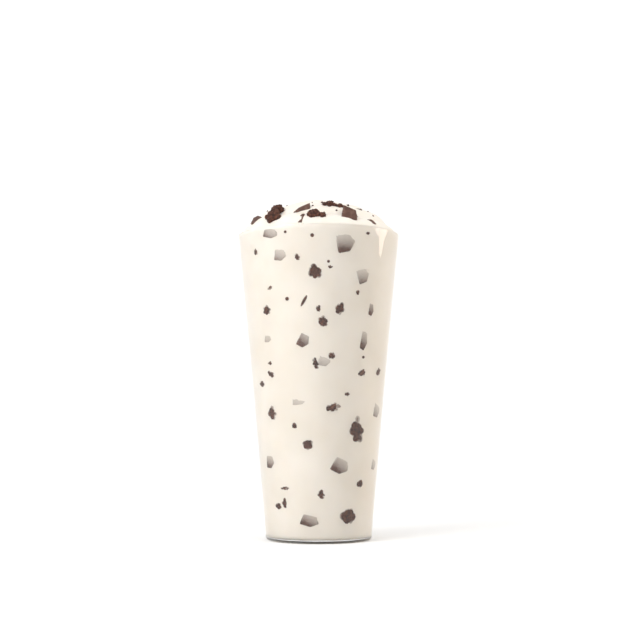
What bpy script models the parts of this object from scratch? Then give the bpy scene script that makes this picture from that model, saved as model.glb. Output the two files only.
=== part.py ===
"""A tall clear tumbler of vanilla shake, with chocolate chunks and brownie crumbs on its swirled top.

Metres, +Z up. The origin is the centre of the base, on the surface that the tumbler stands on.
The front of the drink faces -Y. A turn is an angle round +Z in degrees from +X, so the front is -90.
"""

import math
import random
from typing import NamedTuple

import bmesh
import bpy
from mathutils import Euler, Vector

MM = 0.001

# The tumbler: a straight taper that bows in by a hair at half height.
RIM_HEIGHT = 172.3 * MM
RIM_RADIUS = 46.0 * MM
BASE_RADIUS = 29.6 * MM
WAIST_BOW = 0.48 * MM
WALL = 1.6 * MM
FLOOR = 2.2 * MM
FOOT_CORNER = 2.0 * MM
FOOT_RING_INNER = 23.5 * MM
KICK_UP = 0.6 * MM
KICK_SLOPE = 1.5 * MM
ROUND_STEPS = 72
WALL_STEPS = 6
CORNER_STEPS = 4
MERGE = 0.01 * MM

# Touching pieces keep this gap.
GAP = 0.3 * MM

# The swirled top: a round mound with a ribbon folded over it, which winds inwards from the rim.
EDGE_RADIUS = RIM_RADIUS - WALL
EDGE_DROP = WALL / 2
EDGE_ROLL = 2.6 * MM
MOUND_HEIGHT = 20.0 * MM
MOUND_RADIUS = 57.3 * MM
PEAK_HEIGHT = 0.8 * MM
PEAK_RADIUS = 10.0 * MM
FOLD_START_TURN = 62.0
FOLD_STEP_IN = 4.0 * MM
FOLD_STEP_LAPS = 0.45
FOLD_PER_LAP = 9.4 * MM
FOLD_LAPS = 2.5
FOLD_WIDTH = 12.0 * MM
FOLD_FALL = 1.12
FOLD_POWER = 1.8
FOLD_FADE_LAPS = 1.0
FOLD_LAYERS = 3
FOLD_SOFTNESS = 0.3 * MM
CREASE_SINK = 0.5 * MM
CREASE_ROUND = 3.0 * MM
DOME_RINGS = 24

# The toppings: a chunk has dulled edges and a smaller back, and a crumb is balls melted together.
CHUNK_BEVEL = 0.35 * MM
CHUNK_BACK = 0.82
LOBE_BALLS = 9
CORE_SHARE = 0.86
BALL_SHARE = (0.40, 0.60)
BALL_JITTER = 0.5
BALL_VOXEL = 0.8 * MM
CRUMB_FACES = 230

# A topping's pocket in the shake is wider than the topping by this.
POCKET_GAP = 1.4 * GAP


class Chunk(NamedTuple):
    """A chunk of chocolate. Lengths are in mm and angles in degrees."""

    turn: float  # where the foot of its front face stands, round the drink
    radius: float  # and how far from the middle
    facing: float  # the turn that the front face looks to
    lean: float  # how far it leans back
    depth: float
    outline: list  # the front face's corners, to the right and up from the shake


class Crumb(NamedTuple):
    """A crumb of brownie. Lengths are in mm and angles in degrees."""

    turn: float
    radius: float
    facing: float
    seed: int
    lobes: list  # (to the right, outwards, up, width, depth, height) of each lump


CHUNKS = {
    "chocolate_far_left": Chunk(
        -148.5, 41.0, -112, 25, 4.5,
        [(-3.3, -1.4), (-2.2, 2.7), (0.2, 4.0), (2.8, 3.0), (4.2, -1.0)],
    ),
    "chocolate_upper_left": Chunk(
        -105, 35.5, -92, 12, 4.6,
        [(-5.0, -0.8), (-1.7, 2.1), (4.2, 4.8), (4.5, 4.2), (4.3, -1.0)],
    ),
    "chocolate_lower_left": Chunk(
        -104.5, 43.4, -118, 35, 3.4,
        [(-3.0, -0.8), (0.2, 5.6), (1.8, 5.8), (1.9, -0.8)],
    ),
    "chocolate_right": Chunk(
        -66.8, 42.2, -80, 10, 5.2,
        [(-4.8, -1.0), (-3.0, 7.8), (-0.2, 6.0), (3.9, 4.8), (4.6, 1.2), (4.3, -1.0)],
    ),
    "chocolate_flake": Chunk(
        -49.3, 33.3, -62, 30, 3.0,
        [(-2.7, -0.5), (-2.5, 0.6), (2.5, 0.9), (2.7, -0.4)],
    ),
    "chocolate_far_right": Chunk(
        -47.4, 43.0, -60, 25, 3.2,
        [(-2.6, 1.8), (-0.2, 2.2), (1.5, 1.5), (2.9, -0.8), (-1.4, -0.6)],
    ),
    "chocolate_right_side": Chunk(
        26, 42.0, 10, 40, 4.2,
        [(-3.8, -1.0), (-2.6, 3.4), (1.4, 4.2), (4.0, 2.0), (4.2, -1.0)],
    ),
    "chocolate_back_right": Chunk(
        52, 42.0, 40, 25, 4.6,
        [(-3.6, -1.0), (-3.8, 4.6), (0.6, 6.6), (3.6, -1.0)],
    ),
    "chocolate_back": Chunk(
        83, 38.0, 96, 14, 5.2,
        [(-4.6, -1.0), (-3.6, 6.2), (2.8, 7.4), (4.6, 1.6), (4.4, -1.0)],
    ),
    "chocolate_back_shard": Chunk(
        101, 41.6, 90, 35, 3.0,
        [(-3.6, -0.8), (-1.4, 3.4), (3.2, 1.8), (3.8, -0.8)],
    ),
    "chocolate_back_left": Chunk(
        134, 41.8, 144, 16, 5.0,
        [(-4.4, -1.0), (-3.0, 6.4), (1.0, 7.0), (4.4, 3.4), (4.6, -1.0)],
    ),
    "chocolate_top": Chunk(
        112, 20.0, 150, 35, 3.8,
        [(-3.4, -0.8), (-2.8, 3.2), (1.6, 4.0), (3.6, -0.8)],
    ),
    "chocolate_left_side": Chunk(
        162, 42.0, 176, 35, 4.2,
        [(-3.6, -1.0), (-1.6, 3.6), (2.2, 3.4), (3.8, -1.0)],
    ),
}

CRUMBS = {
    "brownie_left": Crumb(
        -127, 41.0, -98, 3,
        [(0.0, 0.2, 0.4, 9.9, 7.4, 8.4), (0.2, -2.4, 3.2, 6.6, 6.0, 5.6), (1.4, -5.3, 5.7, 7.8, 6.4, 5.6)],
    ),
    "brownie_front": Crumb(
        -92, 40.2, -90, 8,
        [(-1.2, 0.0, 0.2, 8.0, 6.4, 6.2), (3.3, 0.2, -0.6, 5.4, 4.8, 4.2)],
    ),
    "brownie_top": Crumb(
        -77, 30.6, -84, 12,
        [(-1.1, 0.0, 0.5, 8.0, 6.0, 4.6), (4.4, 0.2, -0.3, 5.2, 5.0, 3.2)],
    ),
    "brownie_right_side": Crumb(
        34, 31.0, 24, 17,
        [(0.0, 0.0, 0.6, 8.8, 7.0, 5.4)],
    ),
    "brownie_back_right": Crumb(
        66, 30.0, 66, 21,
        [(-0.8, 0.0, 1.0, 7.6, 6.8, 6.2), (3.2, 0.4, 0.2, 5.2, 5.0, 4.0)],
    ),
    "brownie_back": Crumb(
        116, 36.6, 114, 26,
        [(0.0, 0.0, 1.0, 9.4, 7.4, 7.2), (-3.4, -2.6, 3.4, 6.2, 5.4, 5.2)],
    ),
    "brownie_back_left": Crumb(
        149, 30.0, 158, 31,
        [(0.0, 0.0, 0.8, 8.6, 6.6, 5.4)],
    ),
}


def remove_all_objects():
    for obj in list(bpy.data.objects):
        bpy.data.objects.remove(obj)


def new_collection(name):
    group = bpy.data.collections.new(name)
    bpy.context.scene.collection.children.link(group)
    return group


def new_material(name, color, roughness, transmission=0.0):
    material = bpy.data.materials.new(name)
    material.use_nodes = True
    shader = material.node_tree.nodes["Principled BSDF"]
    shader.inputs["Base Color"].default_value = (*color, 1.0)
    shader.inputs["Roughness"].default_value = roughness
    shader.inputs["Metallic"].default_value = 0.0
    shader.inputs["Transmission Weight"].default_value = transmission
    return material


def smooth_step(share):
    share = min(max(share, 0.0), 1.0)
    return share * share * (3.0 - 2.0 * share)


def outer_radius(z):
    """Outer radius of the tumbler at a height: a straight taper less a shallow parabola."""
    share = z / RIM_HEIGHT
    taper = (RIM_RADIUS - BASE_RADIUS) * share
    return BASE_RADIUS + taper - WAIST_BOW * 4.0 * share * (1.0 - share)


def mound(radius):
    """Height above the rim of the bare mound: the top of a ball, with a low round peak at its middle."""
    ball = math.sqrt(max(MOUND_RADIUS**2 - radius**2, 0.0))
    peak = PEAK_HEIGHT * math.exp(-((radius / PEAK_RADIUS) ** 2))
    return MOUND_HEIGHT - MOUND_RADIUS + ball + peak


def fold_radius(laps):
    """Radius of the ribbon's crease after this many laps in from the rim."""
    return EDGE_RADIUS - FOLD_STEP_IN * smooth_step(laps / FOLD_STEP_LAPS) - FOLD_PER_LAP * laps


def ribbon(radius, laps):
    """Height of one lap of the ribbon: level just outside its crease, then falling ever faster."""
    crease = fold_radius(laps)
    if radius < crease:
        return mound(crease) - (crease - radius) ** 2 / CREASE_ROUND
    across = (radius - crease) / FOLD_WIDTH
    return mound(crease + FOLD_WIDTH * FOLD_FALL * across**FOLD_POWER)


def dome_height(radius, turn):
    """Height of the shake above the rim: the soft maximum of the mound and of the ribbon's laps over it."""
    first_lap = ((FOLD_START_TURN - turn) / 360.0) % 1.0
    layers = [(1.0, mound(radius) - CREASE_SINK)]
    for lap in range(FOLD_LAYERS):
        laps = first_lap + lap
        share = smooth_step((FOLD_LAPS - laps) / FOLD_FADE_LAPS)
        if share > 0.0:
            layers.append((share, ribbon(radius, laps)))
    top = max(height for _, height in layers)
    total = sum(share * math.exp((height - top) / FOLD_SOFTNESS) for share, height in layers)
    height = top + FOLD_SOFTNESS * math.log(total)
    inside = min(max((EDGE_RADIUS - radius) / EDGE_ROLL, 0.0), 1.0)
    roll = math.sqrt(1.0 - (1.0 - inside) ** 2)
    return (height + EDGE_DROP) * roll - EDGE_DROP


def arc(radius, z, size, start, end, steps):
    """Points of a round corner about (radius, z), from one angle to another in degrees, ends included."""
    angles = [math.radians(start + (end - start) * i / steps) for i in range(steps + 1)]
    return [(radius + size * math.cos(a), z + size * math.sin(a)) for a in angles]


def lathe(name, profile, material, collection):
    """A turned shape: the profile, as (radius, height) points, swept round +Z by a Screw modifier."""
    mesh = bpy.data.meshes.new(name)
    points = [(radius, 0.0, z) for radius, z in profile]
    mesh.from_pydata(points, [(i, i + 1) for i in range(len(points) - 1)], [])
    obj = bpy.data.objects.new(name, mesh)
    collection.objects.link(obj)
    screw = obj.modifiers.new("Turn", "SCREW")
    screw.axis = "Z"
    screw.steps = ROUND_STEPS
    screw.render_steps = ROUND_STEPS
    screw.use_merge_vertices = True
    screw.merge_threshold = MERGE
    screw.use_smooth_shade = True
    mesh.materials.append(material)
    return obj


def apply_modifiers(obj):
    """Replaces the object's mesh by what its modifiers make of it."""
    bpy.context.view_layer.update()
    graph = bpy.context.evaluated_depsgraph_get()
    mesh = bpy.data.meshes.new_from_object(obj.evaluated_get(graph))
    obj.modifiers.clear()
    obj.data = mesh
    return obj


def wall_heights(low, high):
    return [low + (high - low) * i / WALL_STEPS for i in range(WALL_STEPS + 1)]


def make_glass(collection):
    """The tumbler: floor, inner wall, rounded lip, outer wall, rounded foot, and a recess under the base."""
    low_inside = FLOOR + FOOT_CORNER
    lip_z = RIM_HEIGHT - WALL / 2
    profile = [(0.0, FLOOR)]
    corner_x = outer_radius(low_inside) - WALL - FOOT_CORNER
    profile += arc(corner_x, low_inside, FOOT_CORNER, -90, 0, CORNER_STEPS)
    profile += [(outer_radius(z) - WALL, z) for z in wall_heights(low_inside, lip_z)[1:-1]]
    profile += arc(outer_radius(lip_z) - WALL / 2, lip_z, WALL / 2, 180, 0, CORNER_STEPS)
    profile += [(outer_radius(z), z) for z in reversed(wall_heights(FOOT_CORNER, lip_z)[1:-1])]
    foot_x = outer_radius(FOOT_CORNER) - FOOT_CORNER
    profile += arc(foot_x, FOOT_CORNER, FOOT_CORNER, 0, -90, CORNER_STEPS)
    profile += [(FOOT_RING_INNER, 0.0), (FOOT_RING_INNER - KICK_SLOPE, KICK_UP), (0.0, KICK_UP)]
    clear = new_material("clear_glass", (0.95, 0.96, 0.96), 0.03, 1.0)
    return lathe("glass", profile, clear, collection)


def make_shake(collection):
    """The shake: it fills the tumbler to its rim, and its top rises in a swirl."""
    low = FLOOR + GAP
    corner = FOOT_CORNER - GAP
    high = RIM_HEIGHT - EDGE_DROP
    edge = outer_radius(high) - WALL - GAP
    rings = [edge * i / DOME_RINGS for i in range(DOME_RINGS + 1)]
    profile = [(radius, high + (edge - radius)) for radius in rings]
    heights = wall_heights(low + corner, high)
    profile += [(outer_radius(z) - WALL - GAP, z) for z in reversed(heights[1:-1])]
    corner_x = outer_radius(low + corner) - WALL - GAP - corner
    profile += arc(corner_x, low + corner, corner, 0, -90, CORNER_STEPS)
    profile += [(0.0, low)]
    vanilla = new_material("vanilla_shake", (0.86, 0.80, 0.71), 0.45)
    shake = lathe("shake", profile, vanilla, collection)
    apply_modifiers(shake)
    for vertex in shake.data.vertices:
        if vertex.co.z > high:
            radius = math.hypot(vertex.co.x, vertex.co.y)
            turn = math.degrees(math.atan2(vertex.co.y, vertex.co.x))
            vertex.co.z = RIM_HEIGHT + dome_height(radius, turn)
    return shake


def on_dome(turn, radius_mm):
    """The point of the shake's top at this turn and radius."""
    radius = radius_mm * MM
    angle = math.radians(turn)
    z = RIM_HEIGHT + dome_height(radius, turn)
    return Vector((radius * math.cos(angle), radius * math.sin(angle), z))


def object_from_bmesh(name, shape, collection):
    mesh = bpy.data.meshes.new(name)
    shape.to_mesh(mesh)
    shape.free()
    obj = bpy.data.objects.new(name, mesh)
    collection.objects.link(obj)
    return obj


def hull_of(shape):
    """Keeps only the convex hull of the shape's vertices."""
    bmesh.ops.delete(shape, geom=shape.faces, context="FACES_ONLY")
    bmesh.ops.delete(shape, geom=shape.edges, context="EDGES_FACES")
    made = bmesh.ops.convex_hull(shape, input=shape.verts)
    inner = dict.fromkeys(made["geom_interior"] + made["geom_unused"])
    loose = [part for part in inner if isinstance(part, bmesh.types.BMVert)]
    bmesh.ops.delete(shape, geom=loose, context="VERTS")
    bmesh.ops.dissolve_limit(shape, angle_limit=math.radians(1), verts=shape.verts, edges=shape.edges)
    bmesh.ops.recalc_face_normals(shape, faces=shape.faces)


def make_chunk(name, chunk, material, collection):
    """A broken chunk of chocolate: the hull of its front outline and of a smaller back one, edges dulled."""
    shape = bmesh.new()
    corners = [Vector(corner) for corner in chunk.outline]
    middle = sum(corners, Vector((0.0, 0.0))) / len(corners)
    for back, scale in ((0.0, 1.0), (chunk.depth, CHUNK_BACK)):
        for corner in corners:
            across, up = middle + (corner - middle) * scale
            shape.verts.new((across * MM, back * MM, up * MM))
    hull_of(shape)
    obj = object_from_bmesh(name, shape, collection)
    obj.location = on_dome(chunk.turn, chunk.radius)
    obj.rotation_euler = Euler((math.radians(-chunk.lean), 0.0, math.radians(chunk.facing + 90)), "XYZ")
    bevel = obj.modifiers.new("Dull edges", "BEVEL")
    bevel.width = CHUNK_BEVEL
    bevel.segments = 1
    bevel.limit_method = "ANGLE"
    bevel.angle_limit = math.radians(25)
    obj.data.materials.append(material)
    return obj


def lobe_balls(rng, lobe):
    """Balls that make one lobe of a crumb, as (centre, radius): one in its middle, the others round it."""
    right, outwards, up, width, depth, height = lobe
    half = Vector((width, depth, height)) / 2
    centre = Vector((right, -outwards, up))
    least = min(half)
    balls = [(centre, least * CORE_SHARE)]
    for i in range(LOBE_BALLS):
        size = least * rng.uniform(*BALL_SHARE)
        level = 1.0 - 2.0 * (i + 0.5) / LOBE_BALLS
        angle = i * math.pi * (3.0 - math.sqrt(5.0)) + rng.uniform(-BALL_JITTER, BALL_JITTER)
        flat = math.sqrt(1.0 - level**2)
        way = Vector((flat * math.cos(angle), flat * math.sin(angle), level))
        reach = Vector([max(h - size, 0.0) for h in half])
        balls.append((centre + Vector([w * r for w, r in zip(way, reach)]), size))
    return balls


def make_crumb(name, crumb, material, collection):
    """A brownie crumb: balls of uneven size melted into one lump."""
    rng = random.Random(crumb.seed)
    shape = bmesh.new()
    for lobe in crumb.lobes:
        for centre, size in lobe_balls(rng, lobe):
            made = bmesh.ops.create_icosphere(shape, subdivisions=2, radius=size * MM)
            bmesh.ops.translate(shape, verts=made["verts"], vec=centre * MM)
    obj = object_from_bmesh(name, shape, collection)
    remesh = obj.modifiers.new("Melt together", "REMESH")
    remesh.mode = "VOXEL"
    remesh.voxel_size = BALL_VOXEL
    apply_modifiers(obj)
    thin = obj.modifiers.new("Few faces", "DECIMATE")
    thin.ratio = CRUMB_FACES / (2 * len(obj.data.polygons))
    apply_modifiers(obj)
    obj.location = on_dome(crumb.turn, crumb.radius)
    obj.rotation_euler = Euler((0.0, 0.0, math.radians(crumb.facing + 90)), "XYZ")
    obj.data.materials.clear()
    obj.data.materials.append(material)
    return obj


def make_pocket(topping, cutters):
    """The hollow that a topping presses into the shake: its convex hull, wider by a bit over the gap."""
    bpy.context.view_layer.update()
    graph = bpy.context.evaluated_depsgraph_get()
    shape = bmesh.new()
    shape.from_object(topping, graph)
    shape.transform(topping.matrix_world)
    hull_of(shape)
    shape.normal_update()
    bmesh.ops.triangulate(shape, faces=shape.faces)
    moves = [(vertex, vertex.normal * POCKET_GAP) for vertex in shape.verts]
    for vertex, move in moves:
        vertex.co += move
    pocket = object_from_bmesh("pocket_" + topping.name, shape, cutters)
    pocket.hide_render = True
    pocket.display_type = "WIRE"
    return pocket


def make_toppings(collection):
    chocolate = new_material("dark_chocolate", (0.075, 0.030, 0.018), 0.42)
    brownie = new_material("brownie", (0.045, 0.016, 0.009), 0.85)
    chunks = [make_chunk(name, chunk, chocolate, collection) for name, chunk in CHUNKS.items()]
    crumbs = [make_crumb(name, crumb, brownie, collection) for name, crumb in CRUMBS.items()]
    return chunks + crumbs


def press_into(shake, toppings, cutters):
    """Cuts the shake round every topping."""
    for topping in toppings:
        make_pocket(topping, cutters)
    cut = shake.modifiers.new("Pockets", "BOOLEAN")
    cut.operation = "DIFFERENCE"
    cut.operand_type = "COLLECTION"
    cut.collection = cutters
    cut.solver = "EXACT"


def main():
    remove_all_objects()
    milkshake = new_collection("milkshake")
    cutters = new_collection("pockets")
    make_glass(milkshake)
    shake = make_shake(milkshake)
    toppings = make_toppings(milkshake)
    press_into(shake, toppings, cutters)


main()
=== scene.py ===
# %% [markdown]
# # A vanilla shake in a tall tumbler
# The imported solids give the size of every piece. This lesson dresses them: clear glass, a swirled
# shake, broken chocolate, brownie crumbs, and the pieces that are half sunk behind the glass.
# Each surface is worked out with numpy as whole arrays of points, which is fast and easy to read.

# %% Load the frame and set the units
import math
import random

import bpy
import numpy as np
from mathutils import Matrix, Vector


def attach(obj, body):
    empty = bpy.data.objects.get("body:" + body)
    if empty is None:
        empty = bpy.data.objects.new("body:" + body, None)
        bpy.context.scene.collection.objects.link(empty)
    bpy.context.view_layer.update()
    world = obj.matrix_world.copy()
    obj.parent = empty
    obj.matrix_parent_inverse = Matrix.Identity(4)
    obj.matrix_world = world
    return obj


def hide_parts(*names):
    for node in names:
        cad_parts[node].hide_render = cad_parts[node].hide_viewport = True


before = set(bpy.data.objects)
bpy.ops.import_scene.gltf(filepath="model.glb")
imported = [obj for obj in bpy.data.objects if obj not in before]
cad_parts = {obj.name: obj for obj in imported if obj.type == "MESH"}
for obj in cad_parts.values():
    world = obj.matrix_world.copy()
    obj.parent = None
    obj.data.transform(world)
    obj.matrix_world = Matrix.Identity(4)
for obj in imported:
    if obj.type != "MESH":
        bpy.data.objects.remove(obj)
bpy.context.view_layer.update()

MM = 0.001

# %% [markdown]
# ## Helpers
# A grid of points becomes a mesh with four-sided faces. A closed grid wraps round, so that its last
# column joins its first with no seam.

# %% From a grid of points to a mesh


def grid_faces(rows, columns, wrap):
    """Four corners a face: row r and column c join to the next row and column, which wraps if asked."""
    across = columns if wrap else columns - 1
    row, column = np.meshgrid(np.arange(rows - 1), np.arange(across), indexing="ij")
    after = (column + 1) % columns
    here = row * columns
    below = here + columns
    corners = (here + column, here + after, below + after, below + column)
    return np.stack(corners, axis=-1).reshape(-1, 4)


def mesh_object(name, points, faces, material):
    """An object at the origin with its place in its mesh. Points are in mm, faces are lists of corners."""
    mesh = bpy.data.meshes.new(name)
    mesh.from_pydata((np.asarray(points) * MM).tolist(), [], faces)
    mesh.polygons.foreach_set("use_smooth", np.ones(len(mesh.polygons), dtype=bool))
    mesh.materials.append(material)
    obj = bpy.data.objects.new(name, mesh)
    bpy.context.scene.collection.objects.link(obj)
    return obj


def turned(profile, steps):
    """A profile of (radius, height) swept round +Z: x = radius cos turn, y = radius sin turn."""
    turn = np.linspace(0, 2 * np.pi, steps, endpoint=False)
    radius, height = np.asarray(profile, dtype=float).T
    x = np.outer(radius, np.cos(turn))
    y = np.outer(radius, np.sin(turn))
    return np.stack([x, y, np.repeat(height[:, None], steps, axis=1)], axis=-1)


def closed_poles(points):
    """Faces of a turned grid whose first and last rows are single points, as triangles at both poles."""
    rows, columns, _ = points.shape
    inner = points[1:-1].reshape(-1, 3)
    all_points = np.vstack([inner, points[0, :1], points[-1, :1]])
    ring = np.arange(columns)
    after = (ring + 1) % columns
    last = (rows - 3) * columns
    top, bottom = len(inner), len(inner) + 1
    faces = grid_faces(rows - 2, columns, True).tolist()
    faces += np.stack([np.full(columns, top), after, ring], axis=-1).tolist()
    faces += np.stack([np.full(columns, bottom), last + ring, last + after], axis=-1).tolist()
    return all_points, faces


def smooth_step(share):
    share = np.clip(share, 0.0, 1.0)
    return share * share * (3.0 - 2.0 * share)


def ripple(points, size, seed, waves=14):
    """Smooth unevenness between about -1 and 1: a sum of plane waves in random directions."""
    rng = np.random.default_rng(seed)
    way = rng.normal(size=(waves, 3))
    length = np.linalg.norm(way, axis=1, keepdims=True)
    way *= (2 * np.pi / size) * rng.uniform(0.6, 1.5, (waves, 1)) / length
    return np.sin(points @ way.T + rng.uniform(0, 2 * np.pi, waves)).sum(axis=-1) / math.sqrt(waves)


# %% [markdown]
# ## Materials
# The cream of the shake lets light a little way in, so it gets some subsurface scattering. Chocolate
# is dull brown with a pale bloom. Brownie is dry, dark and pitted. A piece behind the glass is
# covered by cream where it leaves the wall, so its colour fades by a value kept on each point.

# %% Node helpers


def new_material(name, roughness):
    material = bpy.data.materials.new(name)
    material.use_nodes = True
    shader = material.node_tree.nodes["Principled BSDF"]
    shader.inputs["Roughness"].default_value = roughness
    return material, material.node_tree, shader


def noise(tree, scale, detail=4.0):
    """Noise on Object coordinates; scale counts features in a metre."""
    place = tree.nodes.new("ShaderNodeTexCoord")
    node = tree.nodes.new("ShaderNodeTexNoise")
    node.inputs["Scale"].default_value = scale
    node.inputs["Detail"].default_value = detail
    tree.links.new(place.outputs["Object"], node.inputs["Vector"])
    return node.outputs["Fac"]


def ramp(tree, value, stops):
    node = tree.nodes.new("ShaderNodeValToRGB")
    node.color_ramp.elements[0].position = stops[0][0]
    node.color_ramp.elements[0].color = (*stops[0][1], 1)
    node.color_ramp.elements[1].position = stops[-1][0]
    node.color_ramp.elements[1].color = (*stops[-1][1], 1)
    for position, color in stops[1:-1]:
        node.color_ramp.elements.new(position).color = (*color, 1)
    tree.links.new(value, node.inputs["Fac"])
    return node.outputs["Color"]


def bump(tree, shader, value, strength, distance_mm):
    node = tree.nodes.new("ShaderNodeBump")
    node.inputs["Strength"].default_value = strength
    node.inputs["Distance"].default_value = distance_mm * MM
    tree.links.new(value, node.inputs["Height"])
    tree.links.new(node.outputs["Normal"], shader.inputs["Normal"])


CREAM = (0.83, 0.775, 0.70)
CREAM_DEEP = (0.79, 0.73, 0.645)


def cream_color(tree):
    return ramp(tree, noise(tree, 45, 2.0), [(0.35, CREAM_DEEP), (0.65, CREAM)])


# %% [markdown]
# Scales count features in a metre, so 420 makes patches of about 2.4 mm, as bloom on chocolate has,
# and 1500 makes a grain under a millimetre. Colours run from the darkest to the palest patch.

# %% The finishes


def make_glass_material():
    material, _, shader = new_material("clear_glass", 0.02)
    shader.inputs["Base Color"].default_value = (0.99, 0.995, 0.995, 1)
    shader.inputs["Transmission Weight"].default_value = 1.0
    shader.inputs["IOR"].default_value = 1.5
    return material


def make_shake_material():
    material, tree, shader = new_material("vanilla_shake", 0.42)
    tree.links.new(cream_color(tree), shader.inputs["Base Color"])
    shader.inputs["Subsurface Weight"].default_value = 0.25
    shader.inputs["Subsurface Radius"].default_value = (1.0, 0.8, 0.6)
    shader.inputs["Subsurface Scale"].default_value = 1.6 * MM
    bump(tree, shader, noise(tree, 900, 3.0), 0.12, 0.25)
    return material


def make_chocolate(name, faded):
    material, tree, shader = new_material(name, 0.5)
    brown = ramp(
        tree, noise(tree, 420, 6.0),
        [(0.3, (0.060, 0.022, 0.013)), (0.55, (0.100, 0.042, 0.027)), (0.8, (0.17, 0.090, 0.065))],
    )
    link_color(tree, shader, brown, faded)
    bump(tree, shader, noise(tree, 1500, 6.0), 0.35, 0.3)
    return material


def make_brownie(name, faded):
    material, tree, shader = new_material(name, 0.8)
    brown = ramp(
        tree, noise(tree, 900, 8.0),
        [(0.3, (0.018, 0.006, 0.004)), (0.5, (0.070, 0.022, 0.011)), (0.75, (0.18, 0.065, 0.034))],
    )
    link_color(tree, shader, brown, faded)
    bump(tree, shader, noise(tree, 1300, 8.0), 0.8, 0.5)
    return material


def link_color(tree, shader, brown, faded):
    """A sunk piece mixes its brown with cream by the point value named veil."""
    if not faded:
        tree.links.new(brown, shader.inputs["Base Color"])
        return
    veil = tree.nodes.new("ShaderNodeAttribute")
    veil.attribute_name = "veil"
    mix = tree.nodes.new("ShaderNodeMix")
    mix.data_type = "RGBA"
    tree.links.new(veil.outputs["Fac"], mix.inputs["Factor"])
    tree.links.new(brown, mix.inputs[6])
    tree.links.new(cream_color(tree), mix.inputs[7])
    tree.links.new(mix.outputs[2], shader.inputs["Base Color"])


GLASS = make_glass_material()
SHAKE = make_shake_material()
CHOCOLATE = make_chocolate("dark_chocolate", False)
BROWNIE = make_brownie("brownie", False)
SUNK_CHOCOLATE = make_chocolate("sunk_chocolate", True)
SUNK_BROWNIE = make_brownie("sunk_brownie", True)
print("materials", len(bpy.data.materials))

# %% [markdown]
# ## The tumbler
# Real tumblers are pressed in a mould, so the wall is a smooth lathe shape: a taper that bows in by a
# hair, a rounded lip and a rounded foot with a shallow recess. One closed profile gives both sides of
# the wall, which real refraction needs.

# %% The tumbler's profile
RIM_HEIGHT = 172.3
RIM_RADIUS = 46.0
BASE_RADIUS = 29.6
WAIST_BOW = 0.48
WALL = 1.6
FLOOR = 2.2
FOOT_CORNER = 2.0
# The shallow recess under the base, from the foot's flat ring inwards.
RECESS = [(23.5, 0), (23.2, 0.08), (22.3, 0.52), (22.0, 0.6), (0, 0.6)]
ROUND = 256


def outer_radius(z):
    """Outer radius at a height: a straight taper less a shallow parabola."""
    share = z / RIM_HEIGHT
    return BASE_RADIUS + (RIM_RADIUS - BASE_RADIUS) * share - WAIST_BOW * 4 * share * (1 - share)


def arc(radius, z, size, start, end, steps):
    angle = np.radians(np.linspace(start, end, steps))
    return list(zip(radius + size * np.cos(angle), z + size * np.sin(angle)))


def wall_line(low, high, inset, steps=40):
    z = np.linspace(low, high, steps)
    return list(zip(outer_radius(z) - inset, z))


lip = RIM_HEIGHT - WALL / 2
inside_low = FLOOR + FOOT_CORNER
profile = [(0, FLOOR)]
profile += arc(outer_radius(inside_low) - WALL - FOOT_CORNER, inside_low, FOOT_CORNER, -90, 0, 10)
profile += wall_line(inside_low, lip, WALL)[1:-1]
profile += arc(outer_radius(lip) - WALL / 2, lip, WALL / 2, 180, 0, 14)
profile += wall_line(FOOT_CORNER, lip, 0)[1:-1][::-1]
profile += arc(outer_radius(FOOT_CORNER) - FOOT_CORNER, FOOT_CORNER, FOOT_CORNER, 0, -90, 10)
profile += RECESS
tumbler = mesh_object("tumbler", *closed_poles(turned(profile, ROUND)[:, ::-1]), GLASS)
tumbler.visible_shadow = False
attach(tumbler, "root")
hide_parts("glass")
print("tumbler faces", len(tumbler.data.polygons))

# %% [markdown]
# ## The shake
# A ribbon of shake winds in from the rim and folds over itself. Its height is a soft maximum of a
# round mound and of the ribbon's laps, worked out for all points at once. Below the rim the shake
# reaches a little into the wall of the tumbler, so that no air gap shows through the glass.

# %% The height of the swirled top
EDGE = RIM_RADIUS - WALL
INTO_WALL = 0.15
MOUND_RADIUS = 57.3
MOUND_HEIGHT = 20.0
FOLD_WIDTH = 12.0
FOLD_SOFTNESS = 0.3
EDGE_ROLL = 2.6
EDGE_DROP = 0.8


def mound(radius):
    """The top of a ball, sqrt(R^2 - r^2), with a low round peak."""
    ball = np.sqrt(np.maximum(MOUND_RADIUS**2 - radius**2, 0))
    return MOUND_HEIGHT - MOUND_RADIUS + ball + 0.8 * np.exp(-((radius / 10) ** 2))


def ribbon(radius, laps):
    """Level just outside its crease, then falling ever faster down the mound."""
    crease = EDGE - 4.0 * smooth_step(laps / 0.45) - 9.4 * laps
    across = np.maximum(radius - crease, 0) / FOLD_WIDTH
    outside = mound(crease + FOLD_WIDTH * 1.12 * across**1.8)
    return np.where(radius < crease, mound(crease) - (crease - radius) ** 2 / 3.0, outside)


def dome_height(radius, turn):
    """Soft maximum of the mound and three laps, rolled down at the rim. Turn is in degrees."""
    first = np.mod((62.0 - turn) / 360.0, 1.0)
    heights = [mound(radius) - 0.5] + [ribbon(radius, first + lap) for lap in range(3)]
    shares = [np.ones_like(radius)] + [smooth_step(2.5 - first - lap) for lap in range(3)]
    heights = np.array(heights)
    shares = np.array(shares)
    top = np.where(shares > 0, heights, -1e3).max(axis=0)
    total = (shares * np.exp(np.clip((heights - top) / FOLD_SOFTNESS, -60, 30))).sum(axis=0)
    inside = np.clip((EDGE - radius) / EDGE_ROLL, 0, 1)
    roll = np.sqrt(1 - (1 - inside) ** 2)
    return (top + FOLD_SOFTNESS * np.log(total) + EDGE_DROP) * roll - EDGE_DROP


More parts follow.
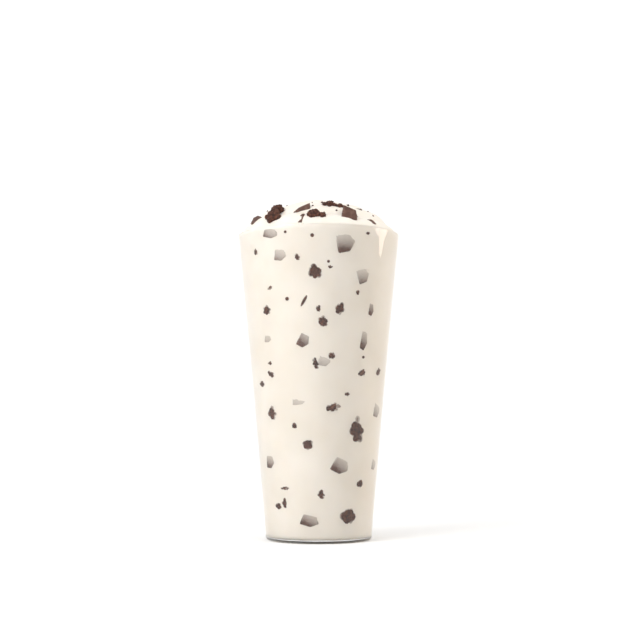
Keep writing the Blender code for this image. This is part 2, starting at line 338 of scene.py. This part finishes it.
def on_dome(turn, radius):
    angle = math.radians(turn)
    height = dome_height(np.array([float(radius)]), np.array([float(turn)]))[0]
    return np.array([radius * math.cos(angle), radius * math.sin(angle), RIM_HEIGHT + height])


edge = outer_radius(lip) - WALL + 0.05
rings = edge * np.linspace(0, 1, 110) ** 0.8
side = wall_line(inside_low, lip, WALL - INTO_WALL, 120)[::-1]
low_x = outer_radius(inside_low) - WALL - FOOT_CORNER
profile = [(r, lip) for r in rings] + side[1:]
profile += arc(low_x, inside_low, FOOT_CORNER + INTO_WALL, 0, -90, 8)[1:] + [(0, FLOOR - INTO_WALL)]
body = turned(profile, 320)
top_rows = slice(0, len(rings))
radius = np.hypot(body[top_rows, :, 0], body[top_rows, :, 1])
turn = np.degrees(np.arctan2(body[top_rows, :, 1], body[top_rows, :, 0]))
uneven = 0.10 * ripple(body[top_rows], 11.0, 5) * smooth_step((edge - radius) / 5)
body[top_rows, :, 2] = RIM_HEIGHT + dome_height(radius, turn) + uneven
shake = mesh_object("shake_swirl", *closed_poles(body), SHAKE)
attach(shake, "root")
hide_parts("shake")
print("shake faces", len(shake.data.polygons), "top", round(body[..., 2].max(), 2))

# %% [markdown]
# ## Broken chocolate
# A chunk is a solid with flat broken faces and dulled edges. Seen from a point inside, the distance
# to the surface in a direction is the least distance to any face's plane. A soft least, by a high
# power sum, rounds the edges, and a fine ripple roughens the faces.

# %% Directions and the chunk's surface


def directions(rows, columns):
    """Unit directions on a grid of polar angle and turn, both poles included."""
    polar = np.linspace(0, np.pi, rows)[:, None]
    turn = np.linspace(0, 2 * np.pi, columns, endpoint=False)[None, :]
    flat = np.sin(polar)
    return np.stack([flat * np.cos(turn), flat * np.sin(turn), np.cos(polar) + 0 * turn], axis=-1)


WAYS = directions(49, 72)


def chunk_shape(depth, outline, ways=WAYS):
    """Radius in direction d = (sum over faces of max(0, n.d / h)^p)^(-1/p), n and h a face's plane."""
    front = np.array(outline, dtype=float)
    middle = front.mean(axis=0)
    back = middle + (front - middle) * 0.82
    centre = np.array([middle[0], depth / 2, middle[1]])
    planes = [((0, -1, 0), depth / 2), ((0, 1, 0), depth / 2)]
    for a, b, c in zip(front, np.roll(front, -1, axis=0), back):
        corner = np.array([a[0], 0, a[1]])
        normal = np.cross(np.array([b[0], 0, b[1]]) - corner, np.array([c[0], depth, c[1]]) - corner)
        normal /= np.linalg.norm(normal)
        reach = normal @ (corner - centre)
        planes.append((normal * np.sign(reach), abs(reach)))
    closeness = np.maximum(np.stack([ways @ np.array(n) / h for n, h in planes]), 0)
    radius = (closeness**26).sum(axis=0) ** (-1 / 26)
    points = centre + ways * radius[..., None]
    return points + ways * (0.05 * ripple(points, 1.6, len(outline), 18))[..., None]


def turn_points(points, lean, facing):
    """Leans the points back about X, then turns them so that their front looks to the facing turn."""
    a, b = math.radians(-lean), math.radians(facing + 90)
    lean_by = np.array([[1, 0, 0], [0, math.cos(a), -math.sin(a)], [0, math.sin(a), math.cos(a)]])
    turn_by = np.array([[math.cos(b), -math.sin(b), 0], [math.sin(b), math.cos(b), 0], [0, 0, 1]])
    return points @ (turn_by @ lean_by).T


# %% The chunks on top: turn, radius, facing, lean, depth, front outline
CHUNKS = {
    "chocolate_far_left": (
        -148.5, 41, -112, 25, 4.5,
        [(-3.3, -1.4), (-2.2, 2.7), (0.2, 4), (2.8, 3), (4.2, -1)],
    ),
    "chocolate_upper_left": (
        -105, 35.5, -92, 12, 4.6,
        [(-5, -0.8), (-1.7, 2.1), (4.2, 4.8), (4.5, 4.2), (4.3, -1)],
    ),
    "chocolate_lower_left": (
        -104.5, 43.4, -118, 35, 3.4,
        [(-3, -0.8), (0.2, 5.6), (1.8, 5.8), (1.9, -0.8)],
    ),
    "chocolate_right": (
        -66.8, 42.2, -80, 10, 5.2,
        [(-4.8, -1), (-3, 7.8), (3.9, 4.8), (4.6, 1.2), (4.3, -1)],
    ),
    "chocolate_flake": (
        -49.3, 33.3, -62, 30, 3,
        [(-2.7, -0.5), (-2.5, 0.6), (2.5, 0.9), (2.7, -0.4)],
    ),
    "chocolate_far_right": (
        -47.4, 43, -60, 25, 3.2,
        [(-2.6, 1.8), (-0.2, 2.2), (1.5, 1.5), (2.9, -0.8), (-1.4, -0.6)],
    ),
    "chocolate_right_side": (
        26, 42, 10, 40, 4.2,
        [(-3.8, -1), (-2.6, 3.4), (1.4, 4.2), (4, 2), (4.2, -1)],
    ),
    "chocolate_back_right": (
        52, 42, 40, 25, 4.6,
        [(-3.6, -1), (-3.8, 4.6), (0.6, 6.6), (3.6, -1)],
    ),
    "chocolate_back": (
        83, 38, 96, 14, 5.2,
        [(-4.6, -1), (-3.6, 6.2), (2.8, 7.4), (4.6, 1.6), (4.4, -1)],
    ),
    "chocolate_back_shard": (
        101, 41.6, 90, 35, 3,
        [(-3.6, -0.8), (-1.4, 3.4), (3.2, 1.8), (3.8, -0.8)],
    ),
    "chocolate_back_left": (
        134, 41.8, 144, 16, 5,
        [(-4.4, -1), (-3, 6.4), (1, 7), (4.4, 3.4), (4.6, -1)],
    ),
    "chocolate_top": (
        112, 20, 150, 35, 3.8,
        [(-3.4, -0.8), (-2.8, 3.2), (1.6, 4), (3.6, -0.8)],
    ),
    "chocolate_left_side": (
        162, 42, 176, 35, 4.2,
        [(-3.6, -1), (-1.6, 3.6), (2.2, 3.4), (3.8, -1)],
    ),
}

for name, (turn, radius, facing, lean, depth, outline) in CHUNKS.items():
    points = on_dome(turn, radius) + turn_points(chunk_shape(depth, outline), lean, facing)
    piece = mesh_object(name + "_broken", *closed_poles(points), CHOCOLATE)
    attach(piece, "root")
    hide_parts(name)
print("chunks", len(CHUNKS))

# %% [markdown]
# ## Brownie crumbs
# A crumb breaks along its pores, so it is a lump of small balls. Seen from the lump's middle, the
# surface in a direction is the furthest point of any ball along it, and a coarse and a fine ripple
# make the grain.

# %% Lumps of balls


def lump(rng, lobe, grain=0.35, ways=WAYS):
    """Furthest exit of a ray from any ball: b + sqrt(b^2 - c.c + s^2), b = c.d, c centre, s radius."""
    right, outwards, up, width, depth, height = lobe
    half = np.array([width, depth, height]) / 2
    centre = np.array([right, -outwards, up])
    reach = np.full(ways.shape[:2], half.min() * 0.86)
    for i in range(9):
        size = half.min() * rng.uniform(0.40, 0.60)
        level = 1 - 2 * (i + 0.5) / 9
        angle = i * math.pi * (3 - math.sqrt(5)) + rng.uniform(-0.5, 0.5)
        flat = math.sqrt(1 - level**2)
        ball = np.array([flat * math.cos(angle), flat * math.sin(angle), level]) * np.maximum(half - size, 0)
        along = ways @ ball
        inside = along**2 - ball @ ball + size**2
        leaves = along + np.sqrt(np.maximum(inside, 0))
        reach = np.where(inside > 0, np.maximum(reach, leaves), reach)
    points = centre + ways * reach[..., None]
    seed = rng.randrange(1000)
    rough = np.abs(ripple(points, 1.9, seed, 20)) * grain + 0.1 * ripple(points, 0.8, seed + 1, 20)
    return points - ways * (rough - 0.2)[..., None]


def join(grids):
    """Many closed grids as one list of points and one of faces."""
    points, faces, count = [], [], 0
    for grid in grids:
        more, sides = closed_poles(grid)
        points.append(more)
        faces += [[corner + count for corner in face] for face in sides]
        count += len(more)
    return np.vstack(points), faces


# %% The crumbs on top: turn, radius, facing, seed, lobes
CRUMBS = {
    "brownie_left": (-127, 41, -98, 3, [
        (0, 0.2, 0.4, 9.9, 7.4, 8.4), (0.2, -2.4, 3.2, 6.6, 6, 5.6), (1.4, -5.3, 5.7, 7.8, 6.4, 5.6)]),
    "brownie_front": (-92, 40.2, -90, 8, [(-1.2, 0, 0.2, 8, 6.4, 6.2), (3.3, 0.2, -0.6, 5.4, 4.8, 4.2)]),
    "brownie_top": (-77, 30.6, -84, 12, [(-1.1, 0, 0.5, 8, 6, 4.6), (4.4, 0.2, -0.3, 5.2, 5, 3.2)]),
    "brownie_right_side": (34, 31, 24, 17, [(0, 0, 0.6, 8.8, 7, 5.4)]),
    "brownie_back_right": (66, 30, 66, 21, [(-0.8, 0, 1, 7.6, 6.8, 6.2), (3.2, 0.4, 0.2, 5.2, 5, 4)]),
    "brownie_back": (116, 36.6, 114, 26, [(0, 0, 1, 9.4, 7.4, 7.2), (-3.4, -2.6, 3.4, 6.2, 5.4, 5.2)]),
    "brownie_back_left": (149, 30, 158, 31, [(0, 0, 0.8, 8.6, 6.6, 5.4)]),
}

for name, (turn, radius, facing, seed, lobes) in CRUMBS.items():
    rng = random.Random(seed)
    grids = [on_dome(turn, radius) + turn_points(lump(rng, lobe), 0, facing) for lobe in lobes]
    piece = mesh_object(name + "_crumb", *join(grids), BROWNIE)
    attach(piece, "root")
    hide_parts(name)
print("crumbs", len(CRUMBS))

# %% [markdown]
# ## Small crumbs on the swirl
# Breaking a brownie leaves specks. Each is a bent ball of a few dozen faces, placed by a seeded draw,
# and all are one piece, because they are too many to be pieces of their own.

# %% Small crumbs that lie on the shake
SMALL_WAYS = directions(7, 8)
rng = random.Random(44)
specks = []
for i in range(46):
    size = rng.uniform(0.25, 0.75)
    place = on_dome(rng.uniform(-180, 180), rng.uniform(22, 43))
    shape = SMALL_WAYS * (size * (1 + 0.25 * ripple(SMALL_WAYS * 2, 1.5, i)))[..., None]
    specks.append(place + shape)
piece = mesh_object("small_crumbs", *join(specks), BROWNIE)
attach(piece, "root")
print("small crumbs", len(specks))

# %% [markdown]
# ## Pieces behind the glass
# Chunks and crumbs in the shake lean on the wall. Where a piece touches the glass it is dark and
# sharp, and where it leaves it, cream covers it. So each piece is flattened against the wall, the
# depth under the wall sets how much cream shows, and its deep part sinks into the shake.

# %% Press a shape against the wall
POKE = 0.3
VEIL_DEPTH = 0.85
FADE_RANGE = 2.0


def press(shape, turn, height, sink):
    """Wraps a shape (right, inwards, up) round the wall and gives its points and its veil of cream."""
    right, depth, up = shape[..., 0], shape[..., 1] + sink, shape[..., 2]
    depth = np.maximum(depth, 0)
    z = np.clip(height + up, FLOOR + 1.2, lip - 1.0)
    wall = outer_radius(z) - WALL
    angle = math.radians(turn) + right / (outer_radius(height) - WALL)
    squeezed = np.where(depth < FADE_RANGE, POKE - POKE * depth / FADE_RANGE, FADE_RANGE - depth)
    out = wall + squeezed
    veil = 1 - np.exp(-depth / VEIL_DEPTH)
    return np.stack([out * np.cos(angle), out * np.sin(angle), z], axis=-1), np.clip(veil, 0, 1)


def spin(shape, degrees):
    a = math.radians(degrees)
    right, up = shape[..., 0].copy(), shape[..., 2].copy()
    shape[..., 0] = right * math.cos(a) - up * math.sin(a)
    shape[..., 2] = right * math.sin(a) + up * math.cos(a)
    return shape


# %% [markdown]
# A piece that the photograph shows is placed where the camera's ray through its middle meets the
# wall. The wall's radius depends on the height of the hit, so the ray is met a few times over.

# %% The camera's place in mm, its upward pitch, and its focal length in pixels
EYE = np.array([0.67, -707.3, 63.64])
PITCH = math.radians(4.864)
FOCUS = 1244.4
MIDDLE = 320


def behind_pixel(u, v):
    """Turn and height of the wall where the camera's ray through a pixel meets it, by a few steps."""
    x = (u - MIDDLE) / FOCUS
    up = (MIDDLE - v) / FOCUS
    onward = math.cos(PITCH) - up * math.sin(PITCH)
    way = np.array([x, onward, math.sin(PITCH) + up * math.cos(PITCH)])
    reach = 42.0
    for _ in range(6):
        a = way[0] ** 2 + way[1] ** 2
        b = EYE[0] * way[0] + EYE[1] * way[1]
        c = EYE[0] ** 2 + EYE[1] ** 2 - reach**2
        t = (-b - math.sqrt(max(b * b - a * c, 0))) / a
        hit = EYE + way * t
        reach = outer_radius(hit[2])
    return math.degrees(math.atan2(hit[1], hit[0])), hit[2]


# Each row: pixel across and down, width and height in pixels, tilt in degrees, chocolate (C) or
# brownie (B), and how far its front lies under the wall in mm.
SEEN = [
    (269, 233, 16, 10, -10, "C", 0.5), (346, 242, 20, 20, 20, "C", 0.45),
    (254.7, 252, 4, 7, 25, "B", 0.1), (279, 254.5, 13, 12, 0, "C", 0.6),
    (296.6, 256.6, 5, 7, 20, "B", 0.2), (314.4, 271, 14, 17, 30, "B", 0),
    (364, 275, 13, 16, 30, "C", 0.6), (269, 287.6, 6, 4, 20, "B", 0.3),
    (358.6, 292.2, 4, 5, 0, "B", 0), (303.5, 300.5, 3, 13, -30, "B", 0.15),
    (286.3, 298.5, 4, 4, 0, "B", 0.15), (265.6, 310, 8, 11, 20, "B", 0.3),
    (318.4, 308.2, 5, 7, 0, "B", 0), (323, 321, 10, 12, 20, "B", 0),
    (340.2, 308.2, 10, 14, -10, "B", 0), (372.3, 309.4, 5, 13, 0, "C", 0.2),
    (302.9, 340.4, 12, 14, -20, "C", 0.15), (266.7, 338.7, 7, 7, 0, "C", 0.7),
    (365, 340.4, 7, 20, -5, "C", 0.3), (315.5, 363.3, 6, 13, 15, "B", 0),
    (332.2, 355.3, 7, 7, 0, "B", 0), (325, 359, 14, 14, 0, "C", 0.9),
    (363.2, 372.5, 9, 7, 20, "B", 0.1), (379.2, 371.7, 5, 8, 30, "B", 0.2),
    (270, 374, 8, 6, -30, "B", 0.1), (261, 383.8, 5, 7, 0, "B", 0.1),
    (347.7, 394, 5, 4, 0, "B", 0.1), (299, 400, 18, 9, 10, "C", 1.0),
    (333.3, 407.3, 16, 9, 15, "B", 0), (378, 408, 7, 20, 0, "C", 0.8),
    (270.8, 413, 9, 17, 10, "B", 0.3), (293.7, 425.7, 5, 6, 30, "B", 0),
    (358, 429.7, 15, 31, 15, "B", 0), (307.5, 444.6, 11, 11, -20, "B", 0),
    (269, 461.8, 8, 13, 5, "C", 0.3), (341, 466, 18, 16, -20, "C", 0.35),
    (374.6, 463, 5, 14, 0, "C", 0.8), (360.9, 483.6, 7, 8, 0, "B", 0),
    (284, 488.2, 10, 4, 0, "B", 0.2), (321.3, 494.6, 7, 10, 10, "B", 0.1),
    (277.6, 506, 6, 7, 0, "B", 0), (283.4, 503, 5, 11, 0, "B", 0),
    (309.2, 521, 19, 12, -10, "C", 0.25), (349.4, 515.8, 17, 19, 0, "B", 0.15),
    (312, 234.8, 4, 4, 0, "B", 0.1), (284.5, 231.5, 3, 3, 0, "B", 0.2),
    (369, 233, 4, 3, 0, "B", 0.2), (328.7, 261, 3, 3, 0, "B", 0.2),
    (330.4, 266.3, 5, 3, 10, "B", 0.1), (364.3, 357, 3, 3, 0, "B", 0.1),
    (269, 363, 4, 4, 0, "B", 0.2),
]
MM_PER_PIXEL = 0.54
SUNK_WAYS = directions(25, 36)
SMALLEST_LUMP = 2.4
SUNK_OUTLINE = [(-0.5, -0.42), (-0.36, 0.5), (0.34, 0.42), (0.5, -0.12), (0.1, -0.5)]
SUNK_GRIDS = {"C": [], "B": []}


def add_sunk(rng, turn, height, width, tall, tilt, kind, sink):
    """A chunk or crumb of this width and height in mm, pressed to the wall at a turn and height."""
    least = min(width, tall)
    if kind == "B" and width > SMALLEST_LUMP:
        shape = lump(rng, (0, 0, 0, width, least * 0.9, tall), 0.3, SUNK_WAYS)
        shape = shape + np.array([0, least * 0.2, 0])
    elif kind == "B":
        shape = SMALL_WAYS * np.array([width, least, tall]) / 2
        shape = shape + np.array([0, least * 0.2, 0])
    else:
        outline = [(a * width, b * tall) for a, b in SUNK_OUTLINE]
        shape = chunk_shape(least * 0.6, outline, SUNK_WAYS)
        shape[..., 1] += shape[..., 2] * 0.12 + shape[..., 0] * 0.05
    SUNK_GRIDS[kind].append(press(spin(shape, tilt), turn, height, sink))


rng = random.Random(7)
for u, v, wide, tall, tilt, kind, sink in SEEN:
    turn, height = behind_pixel(u, v)
    facing = max(-math.sin(math.radians(turn)), 0.45)
    add_sunk(rng, turn, height, wide * MM_PER_PIXEL / facing, tall * MM_PER_PIXEL, tilt, kind, sink)

# %% [markdown]
# The photograph shows nothing of the far half. It gets the same mix by a seeded rule: heights go up
# evenly, and turns step by the golden share of the half circle, so that no two pieces line up.

# %% The unseen half
UNSEEN = 64
GOLDEN = 0.618034
for i in range(UNSEEN):
    turn = (5 + 170 * ((i * GOLDEN) % 1.0)) + rng.uniform(-3, 3)
    height = 10 + 150 * (i + 0.5) / UNSEEN
    kind = "B" if rng.random() < 0.68 else "C"
    size = rng.uniform(2.4, 7.5) if kind == "B" else rng.uniform(4.5, 10)
    sink = rng.choice([0, 0, 0.1, 0.2]) if kind == "B" else rng.uniform(0.15, 0.9)
    add_sunk(rng, turn, height, size, size * rng.uniform(0.7, 1.5), rng.uniform(-60, 60), kind, sink)

# %% [markdown]
# All chunks behind the glass become one piece, and all crumbs another, each with the veil of cream
# kept as a value on its points for the material to read.

# %% One piece for each kind
for kind, name, material, slot in (
    ("C", "sunk_chocolate", SUNK_CHOCOLATE, "dark_chocolate"),
    ("B", "sunk_brownie", SUNK_BROWNIE, "brownie"),
):
    points, faces = join([grid for grid, _ in SUNK_GRIDS[kind]])
    piece = mesh_object(name, points, faces, material)
    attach(piece, "root")
    veils = [np.concatenate([v[1:-1].ravel(), v[0, :1], v[-1, :1]]) for _, v in SUNK_GRIDS[kind]]
    layer = piece.data.attributes.new("veil", "FLOAT", "POINT")
    layer.data.foreach_set("value", np.concatenate(veils).astype(np.float32))
    print(name, len(SUNK_GRIDS[kind]), "faces", len(faces))

# %% [markdown]
# ## Floor, light and camera
# A seamless pale sweep, one broad soft light from the front left and a weaker warm one from the
# right. The camera stands low, as in the photograph.

# %% Stage
BEND_START = 900
BEND_SIZE = 600
bend = np.linspace(0.05, np.pi / 2, 20)
flat_y = np.linspace(-1500, BEND_START, 30)
sweep_y = np.concatenate([flat_y, BEND_START + BEND_SIZE * np.sin(bend), [BEND_START + BEND_SIZE]])
sweep_z = np.concatenate([np.zeros(30), BEND_SIZE * (1 - np.cos(bend)), [3000]])
across = np.array([-3000.0, 3000.0])
sheet = np.stack(np.broadcast_arrays(across[None, :], sweep_y[:, None], sweep_z[:, None]), axis=-1)
paper, _, paper_shader = new_material("pale_floor", 0.9)
paper_shader.inputs["Base Color"].default_value = (0.93, 0.93, 0.93, 1)
floor = mesh_object("floor", sheet.reshape(-1, 3), grid_faces(*sheet.shape[:2], False).tolist(), paper)


def soft_light(name, place, aim, size, power, color):
    """A round area light at a place in metres, turned to look at its aim."""
    data = bpy.data.lights.new(name, "AREA")
    data.shape = "DISK"
    data.size = size
    data.energy = power
    data.color = color
    lamp = bpy.data.objects.new(name, data)
    bpy.context.scene.collection.objects.link(lamp)
    lamp.location = place
    lamp.rotation_euler = (Vector(aim) - Vector(place)).to_track_quat("-Z", "Y").to_euler()


soft_light("key", (-0.9, -0.9, 0.9), (0, 0, 0.1), 0.9, 11, (1, 1, 1))
soft_light("warm_side", (1.3, 0.2, 0.5), (0, 0, 0.1), 0.7, 5, (1, 0.9, 0.78))
world = bpy.data.worlds.new("studio")
world.use_nodes = True
world.node_tree.nodes["Background"].inputs["Color"].default_value = (1, 1, 1, 1)
world.node_tree.nodes["Background"].inputs["Strength"].default_value = 0.95
bpy.context.scene.world = world
bpy.context.scene.view_settings.view_transform = "Standard"

camera_data = bpy.data.cameras.new("camera")
camera_data.lens = 70
camera_data.sensor_width = 36
camera = bpy.data.objects.new("camera", camera_data)
camera.location = EYE * MM
camera.rotation_euler = (math.radians(90) + PITCH, 0, 0)
bpy.context.scene.collection.objects.link(camera)
bpy.context.scene.camera = camera
